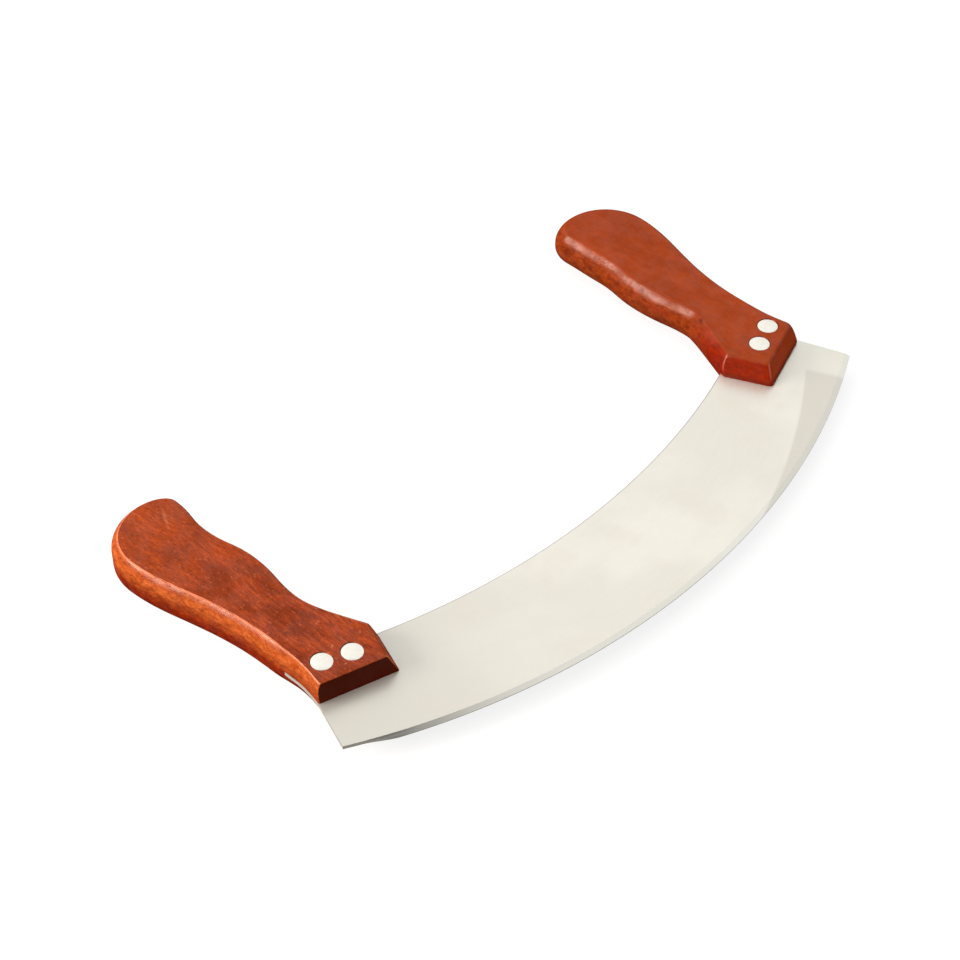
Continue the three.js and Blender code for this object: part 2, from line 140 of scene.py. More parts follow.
# Sizes of the blade for the kerf.
blade_low, blade_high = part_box("blade")
EDGE_BOTTOM = blade_low.y / MM
BLADE_MIDDLE = (blade_low.z + blade_high.z) / (2 * MM)
HALF_BLADE = (blade_high.z - blade_low.z) / (2 * MM)
BLADE_DEPTH = 48.2
BACK_RADIUS = 286.5
BACK_CENTRE = np.array((RIVET_X, EDGE_BOTTOM + BLADE_DEPTH + BACK_RADIUS - RIVET_Y))
TANG_FRONT_REACH = 9.25
TANG_FRONT_SLANT = 14.5
TANG_PROUD = 0.2
TANG_CORNER = 6.0
TANG_POINTS = 9
TANG_CORNER_POINTS = 6
KERF_CLEARANCE = 0.04
KERF_POINTS = 24

# Rivet holes, wider where the heads sit.
HOLE_RADIUS = 2.65
HEAD_HOLE_RADIUS = 4.2
HEAD_SEAT = 7.2
PAST_FACE = 1.0
HOLE_SIDES = 64


def bezier(a, b, c, d, steps):
    """Points on a curve from a to d that leaves towards b and arrives from c."""
    t = np.linspace(0, 1, steps)[:, None]
    return (1 - t) ** 3 * a + 3 * t * (1 - t) ** 2 * b + 3 * t * t * (1 - t) * c + t ** 3 * d


def smooth_share(value, start, end):
    """A share that goes smoothly from 0 to 1 while a value goes from start to end."""
    t = np.clip((value - start) / (end - start), 0, 1)
    return t * t * (3 - 2 * t)


def mixed(first, second, share):
    """A number between two others."""
    return first + share * (second - first)


def stretch_of(points, start, end, count):
    """Evenly spaced points on a line, without its first and last stretch."""
    steps = np.hypot(*np.diff(points, axis=0).T)
    walked = np.concatenate([[0], np.cumsum(steps)])
    wanted = np.linspace(start, walked[-1] - end, count)
    return np.stack([np.interp(wanted, walked, points[:, k]) for k in (0, 1)], 1)


def outward_of(line):
    """Directions square to a line at its points, to the right of its run."""
    along = np.gradient(line, axis=0)
    along /= np.hypot(*along.T)[:, None]
    return np.stack([along[:, 1], -along[:, 0]], 1)


def kept_stretch(points, past):
    """The part of a line where a measure is below zero, with its ends where it crosses zero."""
    inside = np.flatnonzero(past <= 0)
    first, last = inside[0], inside[-1]

    def crossing(kept, cut):
        share = past[kept] / (past[kept] - past[cut])
        return [points[kept] + share * (points[cut] - points[kept])]

    start = crossing(first, first - 1) if first > 0 else []
    end = crossing(last, last + 1) if last + 1 < len(points) else []
    return np.array([*start, *points[first:last + 1], *end])


def handle_outline(inner_more=0.0, corner_more=0.0, belly_more=0.0, head_more=0.0, round_more=0.0):
    """The left handle's face, from the nose round the inner side and the head to the front."""

    def sway(start, end, out=SIDE_EASE, into=SIDE_EASE):
        rise = np.array((0, end[1] - start[1]))
        return bezier(start, start + out * rise, end - into * rise, end, CURVE_POINTS)

    corner = INNER_CORNER + (inner_more + corner_more, 0)
    waist = WAIST + (inner_more, 0)
    belly = BELLY + (inner_more + belly_more, 0)
    neck = NECK + (inner_more, 0)
    head = HEAD + (inner_more + head_more, 0)
    crown = CROWN + (0, head_more * CROWN_FOLLOWS_HEAD)
    inner_slant = np.array((-INNER_FLARE, 1))
    rise = waist[1] - corner[1]
    leaving = corner + FLARE_EASE * rise * inner_slant
    arriving = waist - (0, WAIST_EASE * rise)
    parts = [
        np.linspace(corner - PAST_FRONT * inner_slant, corner, CURVE_POINTS),
        bezier(corner, leaving, arriving, waist, CURVE_POINTS),
        sway(waist, belly),
        sway(belly, neck),
        sway(neck, head),
    ]
    turn = np.linspace(0, math.pi / 2, CURVE_POINTS)
    tight = np.array((head[0] - crown[0], crown[1] - head[1]))
    parts.append((crown[0], head[1]) + tight * np.stack([np.cos(turn), np.sin(turn)], 1))
    radius = HEAD_RADIUS + round_more
    centre = crown - (0, radius)
    parts.append(centre + radius * np.stack([-np.sin(turn), np.cos(turn)], 1))
    flank = centre - (radius, 0)
    parts.append(sway(flank, OUTER_WAIST, FLANK_EASE_AT_HEAD, FLANK_EASE_AT_WAIST))
    outer_slant = np.array((-OUTER_FLARE, -1))
    ease = SIDE_EASE * (OUTER_WAIST[1] - OUTER_CORNER[1])
    leaving = OUTER_WAIST - (0, ease)
    arriving = OUTER_CORNER - ease * outer_slant
    parts.append(bezier(OUTER_WAIST, leaving, arriving, OUTER_CORNER, CURVE_POINTS))
    parts.append(np.linspace(OUTER_CORNER, OUTER_CORNER + PAST_FRONT * outer_slant, CURVE_POINTS))
    whole = np.concatenate([parts[0]] + [part[1:] for part in parts[1:]])
    return stretch_of(whole, 0, 0, OUTLINE_POINTS)


def front_share(outline):
    """How near each point of an outline is to the front, from 0 to 1."""
    return smooth_share(outline[:, 1], FLATTER_FROM, 0)


def outer_bulge(outline):
    """How far the outer side swells beside each point of an outline: less towards the front."""
    return OUTER_BULGE * (1 - FLATTER_FRONT * front_share(outline))


def side_section(outline, outward, shape):
    """How far the side stands out beside each point of an outline, as a function of the height."""
    heading = np.unwrap(np.arctan2(outward[:, 1], outward[:, 0]))
    step = np.hypot(*(outline[1] - outline[0]))
    bend = np.convolve(np.gradient(heading) / step, np.ones(BEND_WINDOW) / BEND_WINDOW, "same")
    widest = ROUNDING_LIMIT / np.maximum(bend, LEAST_BEND)
    inner = smooth_share(outline[:, 0], OUTER_WAIST[0], NECK[0])
    flare = smooth_share(outline[:, 1], WAIST[1], INNER_CORNER[1])
    inner_bulge = mixed(shape["inner_bulge"], FLARE_BULGE, flare)
    bulge = mixed(outer_bulge(outline), inner_bulge, inner)
    shoulder = mixed(OUTER_SHOULDER, shape["inner_shoulder"], inner)
    under_tang = front_share(outline) * (1 - inner)
    outer_edge = mixed(OUTER_BOTTOM_EDGE, FRONT_BOTTOM_EDGE, under_tang)
    edge = np.minimum(mixed(outer_edge, INNER_BOTTOM_EDGE, inner), widest)
    outer_rise = mixed(OUTER_BOTTOM_RISE, HALF_HANDLE - HALF_BLADE, under_tang)
    rise = mixed(outer_rise, INNER_BOTTOM_RISE, inner)
    bend_below = 2 - under_tang

    def out_at(height):
        deep = HALF_HANDLE - height
        above = bulge * np.clip(1 - deep / shoulder, 0, 1) ** 2
        below = (bulge + edge) * np.clip(1 - (HALF_HANDLE + height) / rise, 0, 1) ** bend_below
        return bulge - above - below - CREASE * max(1 - deep / CREASE_DEPTH, 0) ** 2

    return out_at


def facing_of(slant):
    """Directions square to a front and to a nose of some slant, in degrees."""
    turn = math.radians(slant)
    return np.array((-math.sin(turn), -math.cos(turn))), np.array((math.cos(turn), -math.sin(turn)))


def tang_side():
    """The left tang's outer side from the handle's front, and its rounded corner up to the blade's back."""
    outline = handle_outline()
    proud = outline + (outer_bulge(outline) + TANG_PROUD)[:, None] * outward_of(outline)
    outer = proud[(proud[:, 0] < 0) & (proud[:, 1] < CROWN[1] - HEAD_RADIUS)][::-1]
    past_front = outer @ facing_of(TANG_FRONT_SLANT)[0] - TANG_FRONT_REACH
    past_back = BACK_RADIUS - np.hypot(*(outer - BACK_CENTRE).T)
    whole = kept_stretch(outer, np.maximum(past_front, past_back))
    corner = whole[-1]
    straight = whole[np.hypot(*(whole - corner).T) > TANG_CORNER]
    turn = math.asin((BACK_CENTRE[0] - corner[0]) / BACK_RADIUS) - TANG_CORNER / BACK_RADIUS
    on_back = BACK_CENTRE - BACK_RADIUS * np.array((math.sin(turn), math.cos(turn)))
    leaving = (straight[-1] + 2 * corner) / 3
    arriving = (on_back + 2 * corner) / 3
    rounding = bezier(straight[-1], leaving, arriving, on_back, TANG_CORNER_POINTS)
    return np.concatenate([stretch_of(straight, 0, 0, TANG_POINTS), rounding[1:]])


def rounded_corner(before, after, radius):
    """A rounded corner where one line ends and the next starts, and how far back it cuts them."""
    into = before[-1] - before[-2]
    into = into / np.hypot(*into)
    out = after[1] - after[0]
    out = out / np.hypot(*out)
    turn = math.acos(np.clip(into @ out, -1, 1))
    back = radius * math.tan(turn / 2)
    pull = 4 / 3 * math.tan(turn / 4) * radius
    first = after[0] - back * into
    last = after[0] + back * out
    return bezier(first, first + pull * into, last - pull * out, last, CORNER_POINTS), back


def ring_at(outline, outward, out_at, height, shape):
    """The handle's outline at one height, with its two flats cut and its corners rounded."""
    wave = np.array([noise.noise(Vector((*p * WAVER_PACE, height * WAVER_PACE_UP))) for p in outline])
    fade = 1 - (abs(height) / HALF_HANDLE) ** 4
    side = outline + outward * (out_at(height) + HAND_WAVER * fade * wave)[:, None]
    slope = max(abs(height) - HALF_BLADE, 0) / (HALF_HANDLE - HALF_BLADE)
    edge = shape["flat_edge"]
    shallow = edge - min(HALF_HANDLE - abs(height), edge)
    eased = edge - math.sqrt(edge ** 2 - shallow ** 2)
    at_blade = min(max(1 - (abs(height) - HALF_BLADE) / BLADE_EDGE_RISE, 0), 1)
    eased += shape["blade_edge"] * at_blade ** 2
    front = shape["front_reach"] - slope * shape["front_slope"] - eased
    nose = shape["nose_reach"] - slope * shape["nose_slope"] - eased
    front_facing = facing_of(shape["front_slant"])[0]
    nose_facing = facing_of(shape["nose_slant"])[1]
    side = kept_stretch(side, np.maximum(side @ nose_facing - nose, side @ front_facing - front))
    tip = np.linalg.solve(np.array([front_facing, nose_facing]), np.array([front, nose]))
    flat_front = np.array([side[-1], tip])
    flat_nose = np.array([tip, side[0]])
    nose_corner, nose_back = rounded_corner(flat_nose, side, shape["nose_corner"])
    outer_corner, outer_back = rounded_corner(side, flat_front, shape["outer_corner"])
    tip_corner, _ = rounded_corner(flat_front, flat_nose, shape["tip_corner"])
    return np.concatenate([
        nose_corner[:-1],
        stretch_of(side, nose_back, outer_back, SIDE_POINTS),
        outer_corner[1:],
        np.linspace(outer_corner[-1], tip_corner[0], FLAT_POINTS)[1:-1],
        tip_corner,
        np.linspace(tip_corner[-1], nose_corner[0], FLAT_POINTS)[1:-1],
    ])


def handle_heights(shoulder):
    """Heights of the rings, close together where the edges are rounded."""
    upper = HALF_HANDLE - shoulder * np.linspace(1, 0, UPPER_RINGS) ** UPPER_CROWDING
    lower = INNER_BOTTOM_RISE * np.linspace(0, 1, LOWER_RINGS) ** LOWER_CROWDING - HALF_HANDLE
    middle = np.linspace(lower[-1], upper[0], MIDDLE_RINGS)[1:-1]
    return np.concatenate([lower, middle, upper])


def in_scene(name, data):
    """A new object in the scene."""
    made = bpy.data.objects.new(name, data)
    bpy.context.scene.collection.objects.link(made)
    return made


def skinned(name, side, rings):
    """A closed object over rings at rising heights, placed by the left rivets or mirrored by the right."""
    count = len(rings[0][1])
    points = [(side * (x - RIVET_X), y + RIVET_Y, z) for z, ring in rings for x, y in ring]
    faces = [list(reversed(range(count))), list(range(len(points) - count, len(points)))]
    for low in range(0, len(points) - count, count):
        high = low + count
        faces += [(low + i, low + (i + 1) % count, high + (i + 1) % count, high + i) for i in range(count)]
    mesh = bpy.data.meshes.new(name)
    mesh.from_pydata([tuple(MM * c for c in p) for p in points], [], faces)
    if side < 0:
        mesh.flip_normals()
    return in_scene(name, mesh)


def kerf_waste(side):
    """The slot for the tang, as a block that stands past the handle's front."""
    tang = tang_side()
    roomy = tang - KERF_CLEARANCE * outward_of(tang)
    radius = BACK_RADIUS - KERF_CLEARANCE
    first, last = [math.asin((x - BACK_CENTRE[0]) / radius) for x in (roomy[-1][0], PAST_FRONT)]
    turns = np.linspace(first, last, KERF_POINTS)[1:]
    arc = BACK_CENTRE + radius * np.stack([np.sin(turns), -np.cos(turns)], 1)
    start = roomy[0] + PAST_FRONT * np.array((-OUTER_FLARE, -1))
    outline = np.concatenate([[start], roomy, arc, [(PAST_FRONT, start[1])]])[::-1]
    half = HALF_BLADE + KERF_CLEARANCE
    return skinned("kerf", side, [(BLADE_MIDDLE - half, outline), (BLADE_MIDDLE + half, outline)])


def rivet_wastes(side, places):
    """The waste of each rivet's hole, which is wider for the heads near both faces."""
    turns = np.linspace(0, 2 * math.pi, HOLE_SIDES, endpoint=False)
    circle = np.stack([np.cos(turns), np.sin(turns)], 1)
    bottom = -PAST_FACE
    top = 2 * HALF_HANDLE + PAST_FACE
    stretches = [
        (HOLE_RADIUS, bottom, top),
        (HEAD_HOLE_RADIUS, HALF_HANDLE + HEAD_SEAT, top),
        (HEAD_HOLE_RADIUS, bottom, HALF_HANDLE - HEAD_SEAT),
    ]
    centres = [np.array((side * place.x + RIVET_X, place.y - RIVET_Y)) for place in places]
    return [
        skinned("bore", side, [(height, centre + radius * circle) for height in heights])
        for centre in centres
        for radius, *heights in stretches
    ]


def plug(tree, node, inputs):
    """Gives inputs of a node their values or other nodes' sockets."""
    for key, value in dict(inputs).items():
        if isinstance(value, bpy.types.NodeSocket):
            tree.links.new(value, node.inputs[key])
        else:
            node.inputs[key].default_value = value


def add_node(tree, kind, inputs=(), **settings):
    """A new node with its settings and inputs."""
    node = tree.nodes.new(kind)
    for name, value in settings.items():
        setattr(node, name, value)
    plug(tree, node, inputs)
    return node


def put(tree, kind, inputs=(), **settings):
    """The first output of a new node."""
    return add_node(tree, kind, inputs, **settings).outputs[0]


def sums(tree, operation, first, second=0.0):
    """The result of one sum on numbers or sockets."""
    return put(tree, "ShaderNodeMath", {0: first, 1: second}, operation=operation)


def product(tree, first, *others):
    """Numbers or sockets multiplied with one another."""
    for other in others:
        first = sums(tree, "MULTIPLY", first, other)
    return first


def vectors(tree, operation, first, second=(0, 0, 0)):
    """The vector or number that one sum on vectors or sockets gives."""
    made = add_node(tree, "ShaderNodeVectorMath", {0: first, 1: second}, operation=operation)
    return made.outputs["Value" if operation in ("LENGTH", "DOT_PRODUCT") else "Vector"]


def axes_of(tree, vector):
    """The X, Y and Z of a vector."""
    return add_node(tree, "ShaderNodeSeparateXYZ", {0: vector}).outputs


def ramp(tree, value, start, end, first=0.0, last=1.0):
    """A number that goes smoothly from one level to another while a value goes from start to end."""
    return put(
        tree,
        "ShaderNodeMapRange",
        {"Value": value, "From Min": start, "From Max": end, "To Min": first, "To Max": last},
        interpolation_type="SMOOTHSTEP",
    )


def spotted(tree, place, low, high, scale=1.0, detail=2.0, stretch=(1, 1, 1), shift=(0, 0, 0), rough=0.5):
    """Noise on stretched coordinates as a number from 0 to 1 between two of its levels."""
    moved = put(tree, "ShaderNodeMapping", {"Vector": place, "Scale": stretch, "Location": shift})
    settings = {"Vector": moved, "Scale": scale, "Detail": detail, "Roughness": rough}
    return ramp(tree, put(tree, "ShaderNodeTexNoise", settings), low, high)


def tinted(tree, share, first, second):
    """Two colours, or sockets of colours, mixed by a share."""
    mix = add_node(tree, "ShaderNodeMix", {0: share}, data_type="RGBA")
    for key, colour in ((6, first), (7, second)):
        plug(tree, mix, {key: (*colour, 1) if isinstance(colour, tuple) else colour})
    return mix.outputs[2]


def face_share(tree, name):
    """A number that each face of the piece holds for its material."""
    return add_node(tree, "ShaderNodeAttribute", attribute_name=name).outputs["Fac"]


def new_material(name):
    """A new material, its tree, its shader, and the place on the piece in millimetres."""
    material = bpy.data.materials.new(name)
    material.use_nodes = True
    tree = material.node_tree
    here = tree.nodes.new("ShaderNodeTexCoord").outputs["Object"]
    place = vectors(tree, "MULTIPLY", here, (1 / MM, 1 / MM, 1 / MM))
    return material, tree, tree.nodes["Principled BSDF"], place


# Colours of the wood: its grain, its sides, its two cut ends, painted highlights and painted shade,
# and its marks. The left side goes from painted shade at the bottom to painted light at the top, and
# the right one from the flare to the head.
DARK_BAND = (0.22, 0.031, 0.006)
PALE_BAND = (0.51, 0.072, 0.012)
THREAD = (0.16, 0.021, 0.004)
PORE = (0.11, 0.012, 0.002)
FLECK = (0.60, 0.14, 0.05)
LEFT_HEAD = (0.50, 0.090, 0.020)
# The left side's colours go from painted shade at the bottom to painted light at the top.
LEFT_SIDE_DARK_SHADED_BELOW = ((0.13, 0.008, 0.001), (0.36, 0.052, 0.007))
LEFT_SIDE_PALE_SHADED_BELOW = ((0.40, 0.030, 0.002), (0.73, 0.165, 0.035))
RIGHT_SIDE_DARK = ((0.18, 0.008, 0.001), (0.17, 0.018, 0.002))
RIGHT_SIDE_PALE = ((0.33, 0.017, 0.001), (0.40, 0.060, 0.007))
# The left front is darker end grain, and is painted far darker than the right front as painted shade.
LEFT_END_GRAIN_AND_SHADE = (0.085, 0.010, 0.003)
RIGHT_FRONT = (0.42, 0.052, 0.010)
PLANED_NOSE = (0.39, 0.035, 0.006)
# Painted shade on the flats where they meet the blade.
PAINTED_SHADE_BY_BLADE = (0.10, 0.009, 0.002)
# A pale line painted along the left handle's top crease as a highlight.
PAINTED_CREASE_HIGHLIGHT = (0.86, 0.27, 0.13)
# Pale lines painted on the right nose's rounded corners as highlights.
PAINTED_CORNER_HIGHLIGHT = (0.80, 0.22, 0.15)
PALE_WOOD = (0.62, 0.21, 0.10)
DARK_WOOD = (0.05, 0.008, 0.004)

# Strengths of those colours. The right handle has a finer, more even grain.
RIGHT_GRAIN = 0.25
RIGHT_BANDS = 0.3
THREAD_SHARE = 0.8
PORE_SHARE = 0.45
FLECK_SHARE = 0.5
HEAD_SHARE = 0.25
PLANED_SHARE = 0.6
PAINTED_SHADE_BY_BLADE_SHARE = 0.8
CORNER_HIGHLIGHT_SHARE = 0.38
HIGHLIGHT_BETWEEN_THREADS = (1.0, 0.3, 0.3, 0.8)
MARKED_BETWEEN_THREADS = (0.8, 0.2, 0.35, 1.0)
MARK_FADE = (1.0, 0.2)

# Places on the whole cutter, in millimetres, between which they come and go.
HALFWAY = 10
SHADED_SIDE_HEIGHTS = (7, 16)
PAST_FLARE = (-15, 10)
TOWARDS_HEAD = (0, 80)
PAINTED_SHADE_ABOVE_BLADE = (10, 13.5)
CORNER_HIGHLIGHT_HEIGHTS = (11, 14)
FIBRE_WAVES = 0.022
FIBRE_DRIFT = (7, 0, 7)

# Lacquer: the wood's dullness under it, its gloss from place to place, and less of it on end grain.
WOOD_DULLNESS = 0.3
THREAD_DULLNESS = 0.1
PORE_DULLNESS = 0.15
GLOSS = (0.035, 0.095)
END_GLOSS = 0.35
THREAD_RELIEF = 0.25

# Marks on the wood: middle, turn in degrees, half sizes, colour and strength. They are a worn
# streak on the left head, chips and a scratch by the left rivets, and a small dark spot in the right edge.
MARKS = [
    ((-110.8, 68.9, 18), 62, (8, 1.1, 3), PALE_WOOD, 0.4),
    ((-111.3, -17.3, 18), 35, (1.3, 0.5, 3), PALE_WOOD, 0.8),
    ((-113.6, -26.2, 18), 20, (0.8, 0.5, 3), PALE_WOOD, 0.7),
    ((-100.4, -19.5, 18), 50, (1.0, 0.4, 3), PALE_WOOD, 0.6),
    ((-107.0, -17.0, 18), 97, (5.5, 0.3, 3), PALE_WOOD, 0.35),
    ((103.0, 1.0, 17.5), 60, (2.4, 1.3, 2.0), DARK_WOOD, 0.95),
]


def wood():
    material, tree, shader, place = new_material("lacquered hardwood")
    waves = add_node(tree, "ShaderNodeTexNoise", {"Vector": place, "Scale": FIBRE_WAVES, "Detail": 1.0})
    fibres = vectors(tree, "ADD", place, vectors(tree, "MULTIPLY", waves.outputs["Color"], FIBRE_DRIFT))
    bands = spotted(tree, fibres, low=0.34, high=0.66, stretch=(0.11, 0.05, 0.11), detail=5.0, rough=0.7)
    threads = spotted(tree, fibres, low=0.3, high=0.7, stretch=(1.2, 0.14, 1.2), detail=4.0, rough=0.75)
    pores = spotted(tree, fibres, low=0.54, high=0.7, stretch=(2.1, 0.5, 2.1), shift=(5, 3, 1), detail=1.0)
    flecks = spotted(tree, fibres, low=0.62, high=0.76, stretch=(1.6, 0.6, 1.6), shift=(8, 1, 4), detail=1.0)
    specks = spotted(tree, place, 0.32, 0.68, scale=0.5, stretch=(1, 0.5, 1), detail=5.0, rough=0.78)
    axes = axes_of(tree, place)
    left = ramp(tree, axes["X"], HALFWAY, -HALFWAY)
    grain = ramp(tree, left, 0.0, 1.0, RIGHT_GRAIN, 1.0)
    patchy = ramp(tree, left, 0.0, 1.0, RIGHT_BANDS, 1.0)
    bands = sums(tree, "ADD", product(tree, sums(tree, "SUBTRACT", bands, 0.5), patchy), 0.5)
    head = ramp(tree, axes["Y"], *TOWARDS_HEAD, 0.0, HEAD_SHARE)
    # Painted shade low on the left side and painted light high on it.
    upper = ramp(tree, axes["Z"], *SHADED_SIDE_HEIGHTS)
    past_flare = ramp(tree, axes["Y"], *PAST_FLARE)
    sides = [
        tinted(tree, left, tinted(tree, past_flare, *on_right), tinted(tree, upper, *on_left))
        for on_right, on_left in ((RIGHT_SIDE_DARK, LEFT_SIDE_DARK_SHADED_BELOW), (RIGHT_SIDE_PALE, LEFT_SIDE_PALE_SHADED_BELOW))
    ]
    flank = face_share(tree, "flank")
    on_top = ramp(tree, flank, 0.0, 1.0, FLECK_SHARE, 0.0)
    end_grain = face_share(tree, "end_grain")
    flats = face_share(tree, "flats")
    # Painted shade on the flats, darkest by the blade and gone higher up.
    painted_shade_by_blade = ramp(tree, axes["Z"], *PAINTED_SHADE_ABOVE_BLADE, PAINTED_SHADE_BY_BLADE_SHARE, 0.0)
    # Painted highlight along the left crease, broken by the grain.
    wear_and_highlight = product(tree, face_share(tree, "painted_highlight_edge"), ramp(tree, threads, *HIGHLIGHT_BETWEEN_THREADS))
    # Painted highlight on the corners of the flats, on the right handle only.
    corner = product(tree, face_share(tree, "corner"), ramp(tree, axes["Z"], *CORNER_HIGHLIGHT_HEIGHTS))
    tints = [
        (product(tree, threads, grain, THREAD_SHARE), THREAD),
        (product(tree, head, left), LEFT_HEAD),
        (flank, tinted(tree, specks, *sides)),
        (product(tree, pores, grain, PORE_SHARE), PORE),
        (product(tree, flecks, grain, on_top), FLECK),
        # End grain; on the left its darkness is partly painted shade.
        (end_grain, tinted(tree, left, RIGHT_FRONT, LEFT_END_GRAIN_AND_SHADE)),
        (product(tree, sums(tree, "SUBTRACT", flats, end_grain), PLANED_SHARE), PLANED_NOSE),
        (product(tree, flats, painted_shade_by_blade), PAINTED_SHADE_BY_BLADE),
        (product(tree, wear_and_highlight, left), PAINTED_CREASE_HIGHLIGHT),
        (product(tree, corner, ramp(tree, left, 0.0, 1.0, CORNER_HIGHLIGHT_SHARE, 0.0)), PAINTED_CORNER_HIGHLIGHT),
    ]
    colour = tinted(tree, bands, DARK_BAND, PALE_BAND)
    for share, tint in tints:
        colour = tinted(tree, share, colour, tint)
    broken = ramp(tree, threads, *MARKED_BETWEEN_THREADS)
    for middle, turn, size, mark_colour, strength in MARKS:
        near = put(
            tree,
            "ShaderNodeMapping",
            {"Vector": place, "Location": middle, "Rotation": (0, 0, math.radians(turn)), "Scale": size},
            vector_type="TEXTURE",
        )
        mark = ramp(tree, vectors(tree, "LENGTH", near), *MARK_FADE, 0.0, strength)
        colour = tinted(tree, product(tree, broken, mark), colour, mark_colour)

    dull = sums(tree, "ADD", product(tree, threads, THREAD_DULLNESS), WOOD_DULLNESS)
    dull = sums(tree, "ADD", dull, product(tree, pores, PORE_DULLNESS))
    gloss = spotted(tree, place, 0.36, 0.64, scale=0.14, detail=5.0, shift=(2, 7, 1), rough=0.7)
    gloss = ramp(tree, gloss, 0.0, 1.0, *GLOSS)
    gloss = product(tree, gloss, ramp(tree, end_grain, 0.0, 1.0, 1.0, END_GLOSS))
    height = sums(tree, "SUBTRACT", product(tree, threads, THREAD_RELIEF), pores)
    bump = put(tree, "ShaderNodeBump", {"Height": height, "Strength": 0.25, "Distance": 0.05 * MM})
    plug(tree, shader, {"Base Color": colour, "Roughness": dull, "Specular IOR Level": 0.0, "Normal": bump})
    coat = {"Coat Weight": gloss, "Coat IOR": 3.0, "Coat Roughness": 0.2, "Coat Normal": bump}
    plug(tree, shader, coat)
    return material


def finished(name, mesh, crease):
    """A piece at the origin, smooth but for edges that turn more than the crease angle."""
    mesh.shade_smooth()
    mesh.set_sharp_from_angle(angle=math.radians(crease))
    return in_scene(name, mesh)


def plain_mesh(shown, name):
    """The plain mesh that an object shows with its modifiers."""
    mesh = bpy.data.meshes.new_from_object(shown.evaluated_get(bpy.context.evaluated_depsgraph_get()))
    mesh.name = name
    return mesh


def mark_faces(mesh, name, shares):
    """A number for each face, for its material."""
    mesh.attributes.new(name, "FLOAT", "FACE").data.foreach_set("value", shares.astype(np.float32))


# Limits between which a face of the wood starts to count as something, by the share of its
# direction that faces there, by how level it lies, or by its place. The crease is in degrees.
FRONT_FACING = (0.8, 0.9)
NOSE_FACING = (0.88, 0.92)
SAWN_FACING = (0.9, 0.96)
CORNER_FACING = (0.95, 0.99)
SIDE_LEVEL = (0.97, 0.35)
CREASE_LEVEL = (0.97, 0.9)
CORNER_LEVEL = (0.9, 0.6)
LEAST_NOSE_LEVEL = 0.2
LEAST_LENGTH = 1e-6
CORNER_ALONG = (7, 5)
CREASE_HIGHLIGHT_DEPTH = 0.85
HANDLE_CREASE = 32


def mark_wood(mesh, shape):
    """Notes how far each face is a side, end grain, a flat, a corner for a painted highlight, or a crease
    for a painted highlight.
    """
    normals = np.array([polygon.normal for polygon in mesh.polygons])
    middles = np.array([polygon.center for polygon in mesh.polygons]) / MM
    level = np.abs(normals[:, 2])
    across = normals[:, :2]
    bearing = across / np.maximum(np.hypot(*across.T), LEAST_LENGTH)[:, None]
    front = facing_of(shape["front_slant"])[0] * (shape["side"], 1)
    nose = facing_of(shape["nose_slant"])[1] * (shape["side"], 1)
    flare = np.array((shape["side"], INNER_FLARE)) / math.hypot(1, INNER_FLARE)
    end_grain = smooth_share(across @ front, *FRONT_FACING)
    nose_flat = smooth_share(across @ nose, *NOSE_FACING) * (level > LEAST_NOSE_LEVEL)
    sawn = np.maximum(*[smooth_share(bearing @ cut, *SAWN_FACING) for cut in (front, nose)])
    # Corners of the flats and of the nose and flare, for a painted highlight.
    corner = np.zeros(len(normals))
    for first, second in ((front, nose), (nose, flare)):
        between = (first + second) / np.hypot(*(first + second))
        corner = np.maximum(corner, smooth_share(bearing @ between, *CORNER_FACING))
    corner *= smooth_share(level, *CORNER_LEVEL) * smooth_share(middles[:, 1] - RIVET_Y, *CORNER_ALONG)
    # Faces along the top crease, for a painted highlight.
    wear_and_highlight = smooth_share(2 * HALF_HANDLE - middles[:, 2], CREASE_HIGHLIGHT_DEPTH, 0)
    wear_and_highlight *= smooth_share(normals[:, 2], *CREASE_LEVEL) * (1 - sawn)
    mark_faces(mesh, "flank", smooth_share(level, *SIDE_LEVEL) * (1 - end_grain))
    mark_faces(mesh, "end_grain", end_grain)
    mark_faces(mesh, "flats", np.maximum(end_grain, nose_flat))
    mark_faces(mesh, "corner", corner)
    mark_faces(mesh, "painted_highlight_edge", wear_and_highlight)


def handle_blank(name, shape):
    """One handle's block, skinned over rings, before it is sawn and bored."""
    more = [shape[part + "_more"] for part in ("inner", "corner", "belly", "head", "round")]
    outline = handle_outline(*more)
    outward = outward_of(outline)
    out_at = side_section(outline, outward, shape)
    heights = handle_heights(shape["inner_shoulder"])
    rings = [(z + HALF_HANDLE, ring_at(outline, outward, out_at, z, shape)) for z in heights]
    return skinned(name, shape["side"], rings)


def handle(name, shape, places, material):
    """One handle's finished piece, sawn and bored."""
    blank = handle_blank(name, shape)
    wastes = [kerf_waste(shape["side"])] + rivet_wastes(shape["side"], places)
    for waste in wastes:
        cut = blank.modifiers.new("cut", "BOOLEAN")
        cut.operation = "DIFFERENCE"
        cut.solver = "EXACT"
        cut.object = waste
    mesh = plain_mesh(blank, name)
    for spent in [blank] + wastes:
        bpy.data.objects.remove(spent)
    mesh.materials.clear()
    mesh.materials.append(material)
    mark_wood(mesh, shape)
    piece = finished(name, mesh, HANDLE_CREASE)
    weigh = piece.modifiers.new("face weight", "WEIGHTED_NORMAL")
    weigh.keep_sharp = True
    piece.data = plain_mesh(piece, name)
    piece.modifiers.clear()
    return piece


hardwood = wood()
for number, end in enumerate(("left", "right")):
    shape = {size: values[number] for size, values in HANDLE_SHAPES.items()}
    grip = handle(end + "_grip", shape, rivet_places[2 * number:2 * number + 2], hardwood)
    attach(grip, "root")
    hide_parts(end + "_handle")

